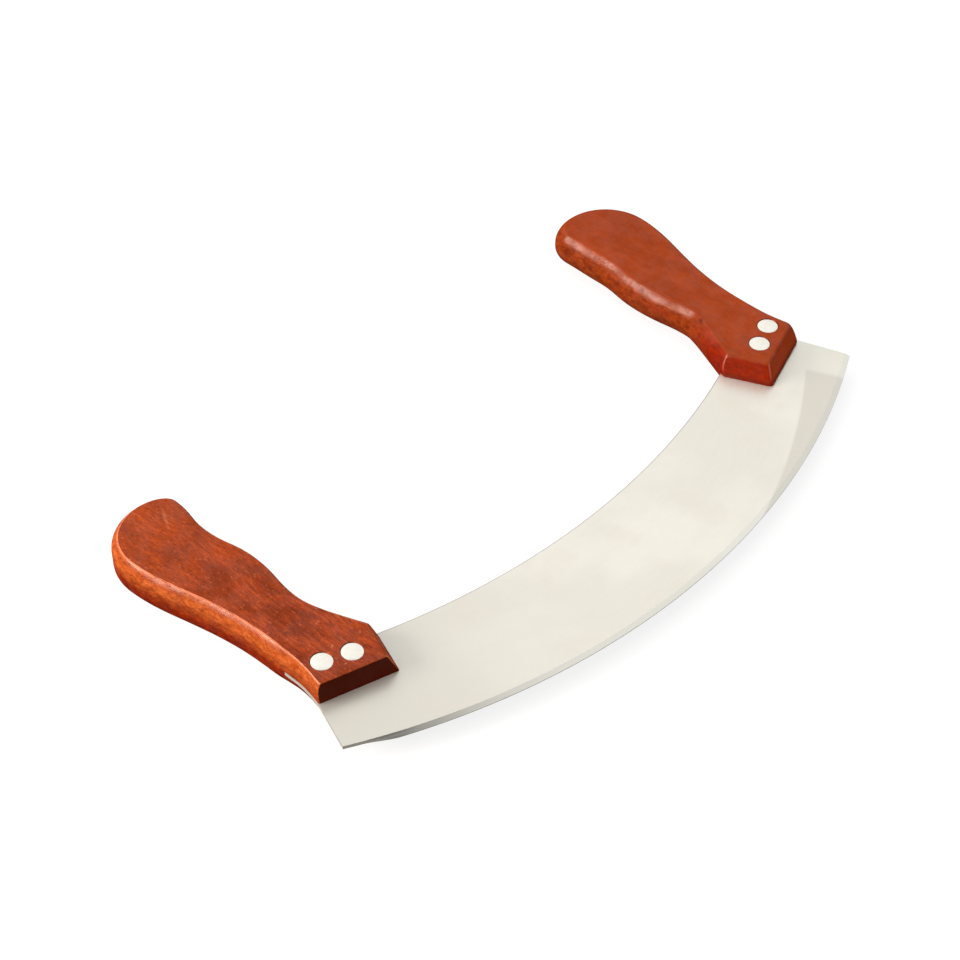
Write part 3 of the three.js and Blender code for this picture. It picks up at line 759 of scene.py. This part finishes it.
# Blade: one band of stainless sheet steel between two arcs, stamped, brushed to a satin finish
# and ground to a bevel along its outer arc. The grind stops short of the left tip, and the ends
# run on into the handles as tangs.
EDGE_RADIUS = 284.0
HALF_SPAN = 135.0
GRIND_WIDTH = 2.0
HALF_LAND = 0.15
BACK_EDGE = 0.16
RUN_OUT = 5.5
RUN_OUT_LENGTH = 12.0
LEAST_GRIND = 0.02
END_SHARES = (0.3, 0.65)
BLADE_STATIONS = 361
DRILL_LENGTH = 10.0
DRILL_SIDES = 48
BLADE_CREASE = 10
EDGE_CENTRE = (0, EDGE_BOTTOM + EDGE_RADIUS, BLADE_MIDDLE)

# Colours of the steel: clouds between two of them, and then tints by strength and colour. A darker
# patch by the right end is a painted reflection, and a painted dark reflection line runs along the back.
DULL_STEEL = (0.83, 0.81, 0.725)
BRIGHT_STEEL = (0.91, 0.89, 0.805)
STEEL_TINTS = {
    "stains": (0.5, (0.82, 0.785, 0.68)),
    "mottling": (0.15, (0.79, 0.785, 0.71)),
    "brushing": (0.18, (0.92, 0.91, 0.84)),
    # A darker patch painted by the right end as a reflection.
    "painted reflection": (0.75, (0.70, 0.67, 0.595)),
    "left end": (0.9, (0.71, 0.69, 0.62)),
    # A dark line painted along the back edge as a reflection.
    "painted back reflection": (0.7, (0.36, 0.35, 0.33)),
    "sheared": (0.4, (0.50, 0.47, 0.42)),
}

# Where they lie, in millimetres: along the edge's arc, out from its centre, or past the back.
GRIND_LINE = 0.05
PAINTED_REFLECTION_SLANT = 0.175
PAINTED_REFLECTION_OUT = (291.0, 292.2)
PAINTED_REFLECTION_ALONG = (128.5, 125.5)
LEFT_END_ALONG = (-10, -150)
BACK_REFLECTION_PAST_BACK = (0.55, 0.25)
SHEARED_LEVEL = 0.3

# Gloss of the steel.
STEEL_DULLNESS = 0.3
BRUSH_DULLNESS = 0.06
CLOUD_DULLNESS = 0.06
GRIND_SHINE = 0.16
FLAT_METAL = 0.6
LESS_SHEARED_METAL = 0.35


def out_from(tree, place, centre):
    """The way from a centre to a place, and its length seen from above."""
    out = vectors(tree, "SUBTRACT", place, centre)
    return out, vectors(tree, "LENGTH", vectors(tree, "MULTIPLY", out, (1, 1, 0)))


def steel():
    material, tree, shader, place = new_material("satin steel")
    out, reach = out_from(tree, place, EDGE_CENTRE)
    axes = axes_of(tree, out)
    turn = sums(tree, "ARCTAN2", axes["X"], product(tree, axes["Y"], -1.0))
    along = product(tree, turn, EDGE_RADIUS)
    band = put(tree, "ShaderNodeCombineXYZ", {"X": along, "Y": reach, "Z": axes["Z"]})
    clouds = spotted(tree, band, 0.36, 0.66, scale=0.03, detail=3.0, stretch=(0.7, 1, 1), shift=(3.1, 0, 0))
    brushing = spotted(tree, band, 0.3, 0.7, stretch=(0.09, 1.6, 1))
    slanted = sums(tree, "ADD", reach, product(tree, along, PAINTED_REFLECTION_SLANT))
    _, from_back = out_from(tree, place, (0, EDGE_BOTTOM + BLADE_DEPTH + BACK_RADIUS, BLADE_MIDDLE))
    past_back = sums(tree, "SUBTRACT", from_back, BACK_RADIUS)
    sheared = face_share(tree, "sheared")
    shares = {
        "stains": spotted(tree, band, 0.52, 0.72, scale=0.055, shift=(9.4, 2.0, 0)),
        "mottling": spotted(tree, band, 0.3, 0.7, scale=0.45, detail=3.0, stretch=(0.6, 1, 1), rough=0.65),
        "brushing": brushing,
        # Where the painted reflection lies.
        "painted reflection": product(tree, ramp(tree, slanted, *PAINTED_REFLECTION_OUT), ramp(tree, along, *PAINTED_REFLECTION_ALONG)),
        "left end": ramp(tree, along, *LEFT_END_ALONG),
        # Where the painted dark line along the back lies.
        "painted back reflection": ramp(tree, past_back, *BACK_REFLECTION_PAST_BACK),
        "sheared": sheared,
    }
    colour = tinted(tree, clouds, DULL_STEEL, BRIGHT_STEEL)
    for name, (strength, tint) in STEEL_TINTS.items():
        colour = tinted(tree, product(tree, shares[name], strength), colour, tint)

    grind_start = EDGE_RADIUS - GRIND_WIDTH
    ground = ramp(tree, reach, grind_start - GRIND_LINE, grind_start + GRIND_LINE)
    dull = sums(tree, "ADD", product(tree, brushing, BRUSH_DULLNESS), STEEL_DULLNESS)
    dull = sums(tree, "ADD", dull, product(tree, clouds, CLOUD_DULLNESS))
    dull = sums(tree, "SUBTRACT", dull, product(tree, ground, GRIND_SHINE))
    bright = ramp(tree, ground, 0.0, 1.0, FLAT_METAL, 1.0)
    bright = sums(tree, "SUBTRACT", bright, product(tree, sheared, LESS_SHEARED_METAL))
    bump = put(tree, "ShaderNodeBump", {"Height": brushing, "Strength": 0.03, "Distance": 0.02 * MM})
    plug(tree, shader, {"Base Color": colour, "Roughness": dull, "Metallic": bright, "Normal": bump})
    return material


def edge_height(x):
    """Height of the edge's arc above its lowest point."""
    return EDGE_RADIUS - math.sqrt(EDGE_RADIUS ** 2 - x * x)


def back_height(x):
    """Height of the back's arc above the same point."""
    return BLADE_DEPTH + BACK_RADIUS - math.sqrt(BACK_RADIUS ** 2 - x * x)


def blade_rows():
    """Rows of the band from the edge to the back: half length, share across, inset, half thickness."""
    tang = [Vector((RIVET_X - x, y + RIVET_Y - EDGE_BOTTOM)) for x, y in tang_side()]
    tip = Vector((HALF_SPAN, edge_height(HALF_SPAN)))
    along = (tang[0] - tip).normalized()
    inwards = along.dot(Vector((0, EDGE_RADIUS)) - tip)
    walked = inwards - math.sqrt(inwards ** 2 - EDGE_RADIUS ** 2 + (EDGE_RADIUS - GRIND_WIDTH) ** 2)
    ground = tip + along * walked
    rows = [(HALF_SPAN, 0, 0, HALF_LAND), (ground.x, 0, GRIND_WIDTH, HALF_BLADE)]
    for point in [ground.lerp(tang[0], share) for share in END_SHARES] + tang[:-1]:
        low = edge_height(point.x)
        rows.append((point.x, (point.y - low) / (back_height(point.x) - low), 0, HALF_BLADE))
    end = tang[-1].x
    return rows + [(end, 1, BACK_EDGE, HALF_BLADE), (end, 1, 0, HALF_BLADE - BACK_EDGE)]


def geometry_tree(name, sizes):
    """A geometry tree with a named number input for each size, and the sockets of its inputs."""
    tree = bpy.data.node_groups.new(name, "GeometryNodeTree")
    tree.interface.new_socket("Geometry", in_out="INPUT", socket_type="NodeSocketGeometry")
    tree.interface.new_socket("Geometry", in_out="OUTPUT", socket_type="NodeSocketGeometry")
    for size in sizes:
        tree.interface.new_socket(size, in_out="INPUT", socket_type="NodeSocketFloat")
    return tree, tree.nodes.new("NodeGroupInput").outputs


def table_of(tree, index, values, data_type):
    """Picks one of a list of values by an index."""
    switch = tree.nodes.new("GeometryNodeIndexSwitch")
    switch.data_type = data_type
    while len(switch.index_switch_items) < len(values):
        switch.index_switch_items.new()
    tree.links.new(index, switch.inputs["Index"])
    for i, value in enumerate(values):
        switch.inputs[str(i)].default_value = value
    return switch.outputs[0]


def position_axes(tree):
    """The X, Y and Z of the position that a tree works on."""
    return axes_of(tree, put(tree, "GeometryNodeInputPosition"))


def joined(tree, *parts):
    """Some geometry as one."""
    join = tree.nodes.new("GeometryNodeJoinGeometry")
    for part in parts:
        tree.links.new(part, join.inputs[0])
    return join.outputs[0]


def close_tree(tree, geometry, material):
    """Ends a tree with plain geometry in one material."""
    plain = put(tree, "GeometryNodeRealizeInstances", {"Geometry": geometry})
    dressed = put(tree, "GeometryNodeSetMaterial", {"Geometry": plain, "Material": material})
    add_node(tree, "NodeGroupOutput", {0: dressed})
    return tree


def grown(name, tree, points, sizes):
    """The plain mesh that a tree makes from loose points and sizes in millimetres."""
    mesh = bpy.data.meshes.new(name)
    mesh.from_pydata([Vector(p) * MM for p in points], [], [])
    carrier = in_scene(name, mesh)
    modifier = carrier.modifiers.new(name, "NODES")
    modifier.node_group = tree
    for item in tree.interface.items_tree:
        if item.in_out == "INPUT" and item.name in sizes:
            modifier[item.identifier] = sizes[item.name] * MM
    result = plain_mesh(carrier, name)
    bpy.data.objects.remove(carrier)
    return result


def blade_tree(material, sizes):
    """A flat grid bent between the two arcs, thickened, ground thin at its edge and drilled."""
    tree, size = geometry_tree("blade band", sizes)
    rows = blade_rows()
    grid = put(
        tree,
        "GeometryNodeMeshGrid",
        {"Size X": 1.0, "Size Y": 2.0, "Vertices X": len(rows), "Vertices Y": BLADE_STATIONS},
    )
    at = position_axes(tree)
    across = product(tree, sums(tree, "ADD", at["X"], 0.5), len(rows) - 1.0)
    row = put(tree, "FunctionNodeFloatToInt", {0: across}, rounding_mode="ROUND")
    plans = [(half * MM, share, inset * MM) for half, share, inset, _ in rows]
    half, share, inset = axes_of(tree, table_of(tree, row, plans, "VECTOR"))
    from_tip = product(tree, sums(tree, "ADD", at["Y"], 1.0), size["Half Span"])
    grind = ramp(tree, from_tip, RUN_OUT * MM, (RUN_OUT + RUN_OUT_LENGTH) * MM, LEAST_GRIND, 1.0)
    blunt = product(tree, sums(tree, "LESS_THAN", row, 0.5), sums(tree, "SUBTRACT", 1.0, grind))
    half = sums(tree, "SUBTRACT", half, product(tree, blunt, (rows[0][0] - rows[1][0]) * MM))
    inset = sums(tree, "ADD", inset, product(tree, blunt, GRIND_WIDTH * MM))
    x = product(tree, at["Y"], half)
    squared = product(tree, x, x)

    def arc_height(radius, centre):
        fall = sums(tree, "SUBTRACT", product(tree, radius, radius), squared)
        return sums(tree, "SUBTRACT", centre, sums(tree, "SQRT", fall))

    edge = arc_height(sums(tree, "SUBTRACT", size["Edge Radius"], inset), size["Edge Radius"])
    back_centre = sums(tree, "ADD", size["Depth"], size["Back Radius"])
    back = arc_height(sums(tree, "ADD", size["Back Radius"], inset), back_centre)
    y = put(tree, "ShaderNodeMix", {0: share, 2: edge, 3: back})
    y = sums(tree, "ADD", y, size["Edge Bottom"])
    spot = put(tree, "ShaderNodeCombineXYZ", {"X": x, "Y": y})
    thickness = table_of(tree, row, [r[3] * MM for r in rows], "FLOAT")
    thickness = put(tree, "ShaderNodeMix", {0: blunt, 2: thickness, 3: size["Half Thickness"]})
    noted = put(
        tree,
        "GeometryNodeStoreNamedAttribute",
        {"Geometry": grid, "Name": "half_thickness", "Value": thickness},
    )
    flat = put(tree, "GeometryNodeSetPosition", {"Geometry": noted, "Position": spot})
    lower = put(tree, "GeometryNodeExtrudeMesh", {"Mesh": flat, "Individual": False})
    upper = put(tree, "GeometryNodeFlipFaces", {"Mesh": flat})
    closed = put(tree, "GeometryNodeMergeByDistance", {0: joined(tree, lower, upper), "Distance": 1e-6})
    held = add_node(tree, "GeometryNodeInputNamedAttribute", {"Name": "half_thickness"}).outputs["Attribute"]
    now = position_axes(tree)
    side = sums(tree, "ADD", product(tree, now["Z"], 2.0), 1.0)
    z = sums(tree, "ADD", product(tree, side, held), size["Middle"])
    spot = put(tree, "ShaderNodeCombineXYZ", {"X": now["X"], "Y": now["Y"], "Z": z})
    band = put(tree, "GeometryNodeSetPosition", {"Geometry": closed, "Position": spot})
    band = put(tree, "GeometryNodeRemoveAttribute", {"Geometry": band, "Name": "half_thickness"})
    drill = put(
        tree,
        "GeometryNodeMeshCylinder",
        {"Vertices": DRILL_SIDES, "Radius": size["Hole Radius"], "Depth": DRILL_LENGTH * MM},
    )
    drills = put(tree, "GeometryNodeInstanceOnPoints", {"Points": size["Geometry"], "Instance": drill})
    drills = put(tree, "GeometryNodeRealizeInstances", {"Geometry": drills})
    drilled = put(tree, "GeometryNodeMeshBoolean", {"Mesh 1": band, "Mesh 2": drills}, solver="EXACT")
    return close_tree(tree, drilled, material)


blade_sizes = {
    "Edge Radius": EDGE_RADIUS,
    "Back Radius": BACK_RADIUS,
    "Depth": BLADE_DEPTH,
    "Edge Bottom": EDGE_BOTTOM,
    "Middle": BLADE_MIDDLE,
    "Half Thickness": HALF_BLADE,
    "Half Span": HALF_SPAN,
    "Hole Radius": HOLE_RADIUS,
}
rivet_middles = [(place.x, place.y, BLADE_MIDDLE) for place in rivet_places]
blade_mesh = grown("blade_band", blade_tree(steel(), blade_sizes), rivet_middles, blade_sizes)
sheared_faces = np.array([abs(face.normal.z) < SHEARED_LEVEL for face in blade_mesh.polygons])
mark_faces(blade_mesh, "sheared", sheared_faces)
blade = finished("blade_band", blade_mesh, BLADE_CREASE)
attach(blade, "root")
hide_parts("blade")

# Rivets: aluminium cutlers' rivets, a post pressed into a sleeve, with flat heads sunk flush in
# both faces of the wood. Two hold each handle on its tang.
RIVET_HEAD_RADIUS = 4.0
HEAD_TOP = 9.0
HEAD_UNDER = 7.4
RIM = 0.3
RIM_BEND = 0.3 * RIM
POST_RADIUS = 1.6
SLEEVE_RADIUS = 2.5
SLEEVE_BORE = 1.7
POST_GAP = 0.5
RIVET_SIDES = 64
RIVET_CREASE = 30
RIM_RINGS = [
    (RIVET_HEAD_RADIUS, HEAD_TOP - RIM),
    (RIVET_HEAD_RADIUS - RIM_BEND, HEAD_TOP - RIM_BEND),
    (RIVET_HEAD_RADIUS - RIM, HEAD_TOP),
]
POST_RINGS = [
    (POST_RADIUS, POST_GAP - HEAD_UNDER),
    (POST_RADIUS, HEAD_UNDER),
    (RIVET_HEAD_RADIUS, HEAD_UNDER),
    *RIM_RINGS,
]
SLEEVE_RINGS = [
    *[(radius, -height) for radius, height in reversed(RIM_RINGS)],
    (RIVET_HEAD_RADIUS, -HEAD_UNDER),
    (SLEEVE_RADIUS, -HEAD_UNDER),
    (SLEEVE_RADIUS, HEAD_UNDER - POST_GAP),
    (SLEEVE_BORE, HEAD_UNDER - POST_GAP),
    (SLEEVE_BORE, -HEAD_UNDER),
]
DULL_ALUMINIUM = (0.90, 0.88, 0.79)
BRIGHT_ALUMINIUM = (0.95, 0.94, 0.87)
RIVET_DULLNESS = 0.22
FINE_DULLNESS = 0.05


def rivet_metal():
    material, tree, shader, place = new_material("satin aluminium")
    # The aluminium's own uneven tone.
    wear_and_highlight = spotted(tree, place, 0.35, 0.68, scale=0.9, detail=3.0)
    fine = spotted(tree, place, 0.3, 0.7, scale=5.0)
    colour = tinted(tree, wear_and_highlight, DULL_ALUMINIUM, BRIGHT_ALUMINIUM)
    dull = sums(tree, "ADD", product(tree, fine, FINE_DULLNESS), RIVET_DULLNESS)
    bump = put(tree, "ShaderNodeBump", {"Height": fine, "Strength": 0.02, "Distance": 0.02 * MM})
    plug(tree, shader, {"Base Color": colour, "Roughness": dull, "Metallic": 0.6, "Normal": bump})
    return material


def turned(tree, rings, unit):
    """A round piece from the radius and height of each of its rings."""
    last = len(rings) - 1
    tube = put(
        tree,
        "GeometryNodeMeshCylinder",
        {"Vertices": RIVET_SIDES, "Side Segments": last, "Radius": 1.0, "Depth": float(last)},
    )
    at = position_axes(tree)
    step = sums(tree, "ADD", at["Z"], last / 2)
    step = put(tree, "FunctionNodeFloatToInt", {0: step}, rounding_mode="ROUND")
    plan = table_of(tree, step, [(radius, height, 0) for radius, height in rings], "VECTOR")
    ring = axes_of(tree, plan)
    x = product(tree, at["X"], ring["X"])
    y = product(tree, at["Y"], ring["X"])
    spot = put(tree, "ShaderNodeCombineXYZ", {"X": x, "Y": y, "Z": ring["Y"]})
    spot = vectors(tree, "MULTIPLY", spot, unit)
    return put(tree, "GeometryNodeSetPosition", {"Geometry": tube, "Position": spot})


def rivet_tree(material, sizes):
    """A post and a sleeve at each rivet's place."""
    tree, given = geometry_tree("rivets", sizes)
    pair = joined(tree, *[turned(tree, rings, given["Unit"]) for rings in (POST_RINGS, SLEEVE_RINGS)])
    placed = put(tree, "GeometryNodeInstanceOnPoints", {"Points": given["Geometry"], "Instance": pair})
    return close_tree(tree, placed, material)


rivet_sizes = {"Unit": 1.0}
rivet_mesh = grown("rivet_set", rivet_tree(rivet_metal(), rivet_sizes), rivet_middles, rivet_sizes)
rivets = finished("rivet_set", rivet_mesh, RIVET_CREASE)
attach(rivets, "root")
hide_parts(*[f"{rivet}_rivet_{half}" for rivet in RIVETS for half in ("post", "sleeve")])

# Studio: a white floor that keeps a faint shadow, soft light from overhead, the left and the front,
# and two warm lamps on the left for the pale lines on the handles' edges. Metal sees a white
# surrounding that darkens straight overhead and on the camera's side, as its cutting edge shows.
FLOOR_HALF = 6.0
FLOOR_GREY = (0.24, 0.24, 0.24)
FLOOR_PALER_GREY = (0.26, 0.26, 0.26)
FLOOR_GLOW = 0.84
FLOOR_IN_METAL = 0.06

# Soft lights: direction, the share of it from which the light grows, and strength.
SOFT_LIGHTS = [
    ((0.0, 0.25, 1.0), 0.7, 1.78),
    ((-0.75, 0.3, 0.6), 0.45, 0.5),
    ((0.5, -0.75, 0.45), 0.6, 0.7),
]
LEAST_LIGHT = 0.012

# Lamps: name, direction, size in metres and power in watts.
LAMPS = [
    ("window", (-0.75, 0.49, 0.44), (1.0, 0.5), 24),
    ("small window", (-0.73, -0.09, 0.67), (0.2, 0.2), 2.6),
]
LAMP_DISTANCE = 1.6
LAMP_COLOUR = (1.0, 0.88, 0.77)

# What metal sees: where the white fades overhead and comes back on the far side, by the share of a
# direction that points there.
FADES_TO_PALE = (0.8, 0.95)
FADES_TO_DARK = (0.95, 0.985)
PALE_LEVEL = 0.92
FAR_SIDE = (0.78, 0.62, 0)
FAR_SIDE_SHARES = (-0.3, 0.1)
NEAR_SIDE_LEVEL = 0.25


def seen_shares(tree):
    """What the camera sees straight, and what it sees in metal, as numbers from 0 to 1."""
    path = tree.nodes.new("ShaderNodeLightPath").outputs
    first = sums(tree, "LESS_THAN", path["Diffuse Depth"], 0.5)
    mirrored = sums(tree, "MAXIMUM", path["Is Glossy Ray"], path["Is Transmission Ray"])
    return path["Is Camera Ray"], product(tree, mirrored, first)


def floor_white():
    material, tree, shader, place = new_material("white floor")
    straight, mirrored = seen_shares(tree)
    pale = tinted(tree, spotted(tree, place, 0.2, 0.8, scale=0.04), FLOOR_GREY, FLOOR_PALER_GREY)
    colour = tinted(tree, straight, pale, FLOOR_GREY)
    glow = sums(tree, "MAXIMUM", straight, product(tree, mirrored, FLOOR_IN_METAL))
    glow = product(tree, glow, FLOOR_GLOW)
    plug(tree, shader, {"Base Color": colour, "Roughness": 1.0, "Specular IOR Level": 0.0})
    plug(tree, shader, {"Emission Color": (1, 1, 1, 1), "Emission Strength": glow})
    return material


floor_corners = [(x * FLOOR_HALF, y * FLOOR_HALF, 0) for x, y in ((-1, -1), (1, -1), (1, 1), (-1, 1))]
floor_mesh = bpy.data.meshes.new("floor")
floor_mesh.from_pydata(floor_corners, [], [(0, 1, 2, 3)])
floor_mesh.materials.append(floor_white())
floor = in_scene("floor", floor_mesh)

world = bpy.data.worlds.new("white surrounding")
bpy.context.scene.world = world
world.use_nodes = True
world.cycles.sampling_method = "NONE"
sky = world.node_tree
towards = sky.nodes.new("ShaderNodeTexCoord").outputs["Generated"]
fill = LEAST_LIGHT
for direction, start, strength in SOFT_LIGHTS:
    share = vectors(sky, "DOT_PRODUCT", towards, Vector(direction).normalized())
    fill = sums(sky, "ADD", fill, ramp(sky, share, start, 1.0, 0.0, strength))
upright = axes_of(sky, towards)["Z"]
to_pale = ramp(sky, upright, *FADES_TO_PALE, 1.0, PALE_LEVEL)
to_dark = ramp(sky, upright, *FADES_TO_DARK, PALE_LEVEL, 0.0)
far_side = ramp(sky, vectors(sky, "DOT_PRODUCT", towards, FAR_SIDE), *FAR_SIDE_SHARES, NEAR_SIDE_LEVEL, 1.0)
in_metal = product(sky, sums(sky, "MINIMUM", to_pale, to_dark), far_side)
straight, mirrored = seen_shares(sky)
level = put(sky, "ShaderNodeMix", {0: mirrored, 2: fill, 3: in_metal})
level = put(sky, "ShaderNodeMix", {0: straight, 2: level, 3: 1.0})
plug(sky, sky.nodes["Background"], {"Color": (1, 1, 1, 1), "Strength": level})

for name, direction, size, power in LAMPS:
    lamp_data = bpy.data.lights.new(name, "AREA")
    lamp_data.shape = "RECTANGLE"
    lamp_data.size, lamp_data.size_y = size
    lamp_data.energy = power
    lamp_data.color = LAMP_COLOUR
    lamp = in_scene(name, lamp_data)
    lamp.location = Vector(direction).normalized() * LAMP_DISTANCE
    lamp.rotation_euler = (-lamp.location).to_track_quat("-Z", "Y").to_euler()

# Camera: looks down at the cutter from its left front, at the photograph's angle.
AZIMUTH = math.radians(-46.17)
ELEVATION = math.radians(44.71)
AIM = Vector((-13.5, 7.63, 9.85)) * MM
DISTANCE = 860.5 * MM
camera = in_scene("camera", bpy.data.cameras.new("camera"))
camera.data.sensor_width = 36
camera.data.lens = 88.3
camera.data.clip_start = 0.01
camera.data.clip_end = 50
camera.rotation_euler = (math.pi / 2 - ELEVATION, 0, AZIMUTH)
camera.location = AIM + camera.rotation_euler.to_matrix() @ Vector((0, 0, DISTANCE))
bpy.context.scene.camera = camera
bpy.context.scene.view_settings.view_transform = "Standard"
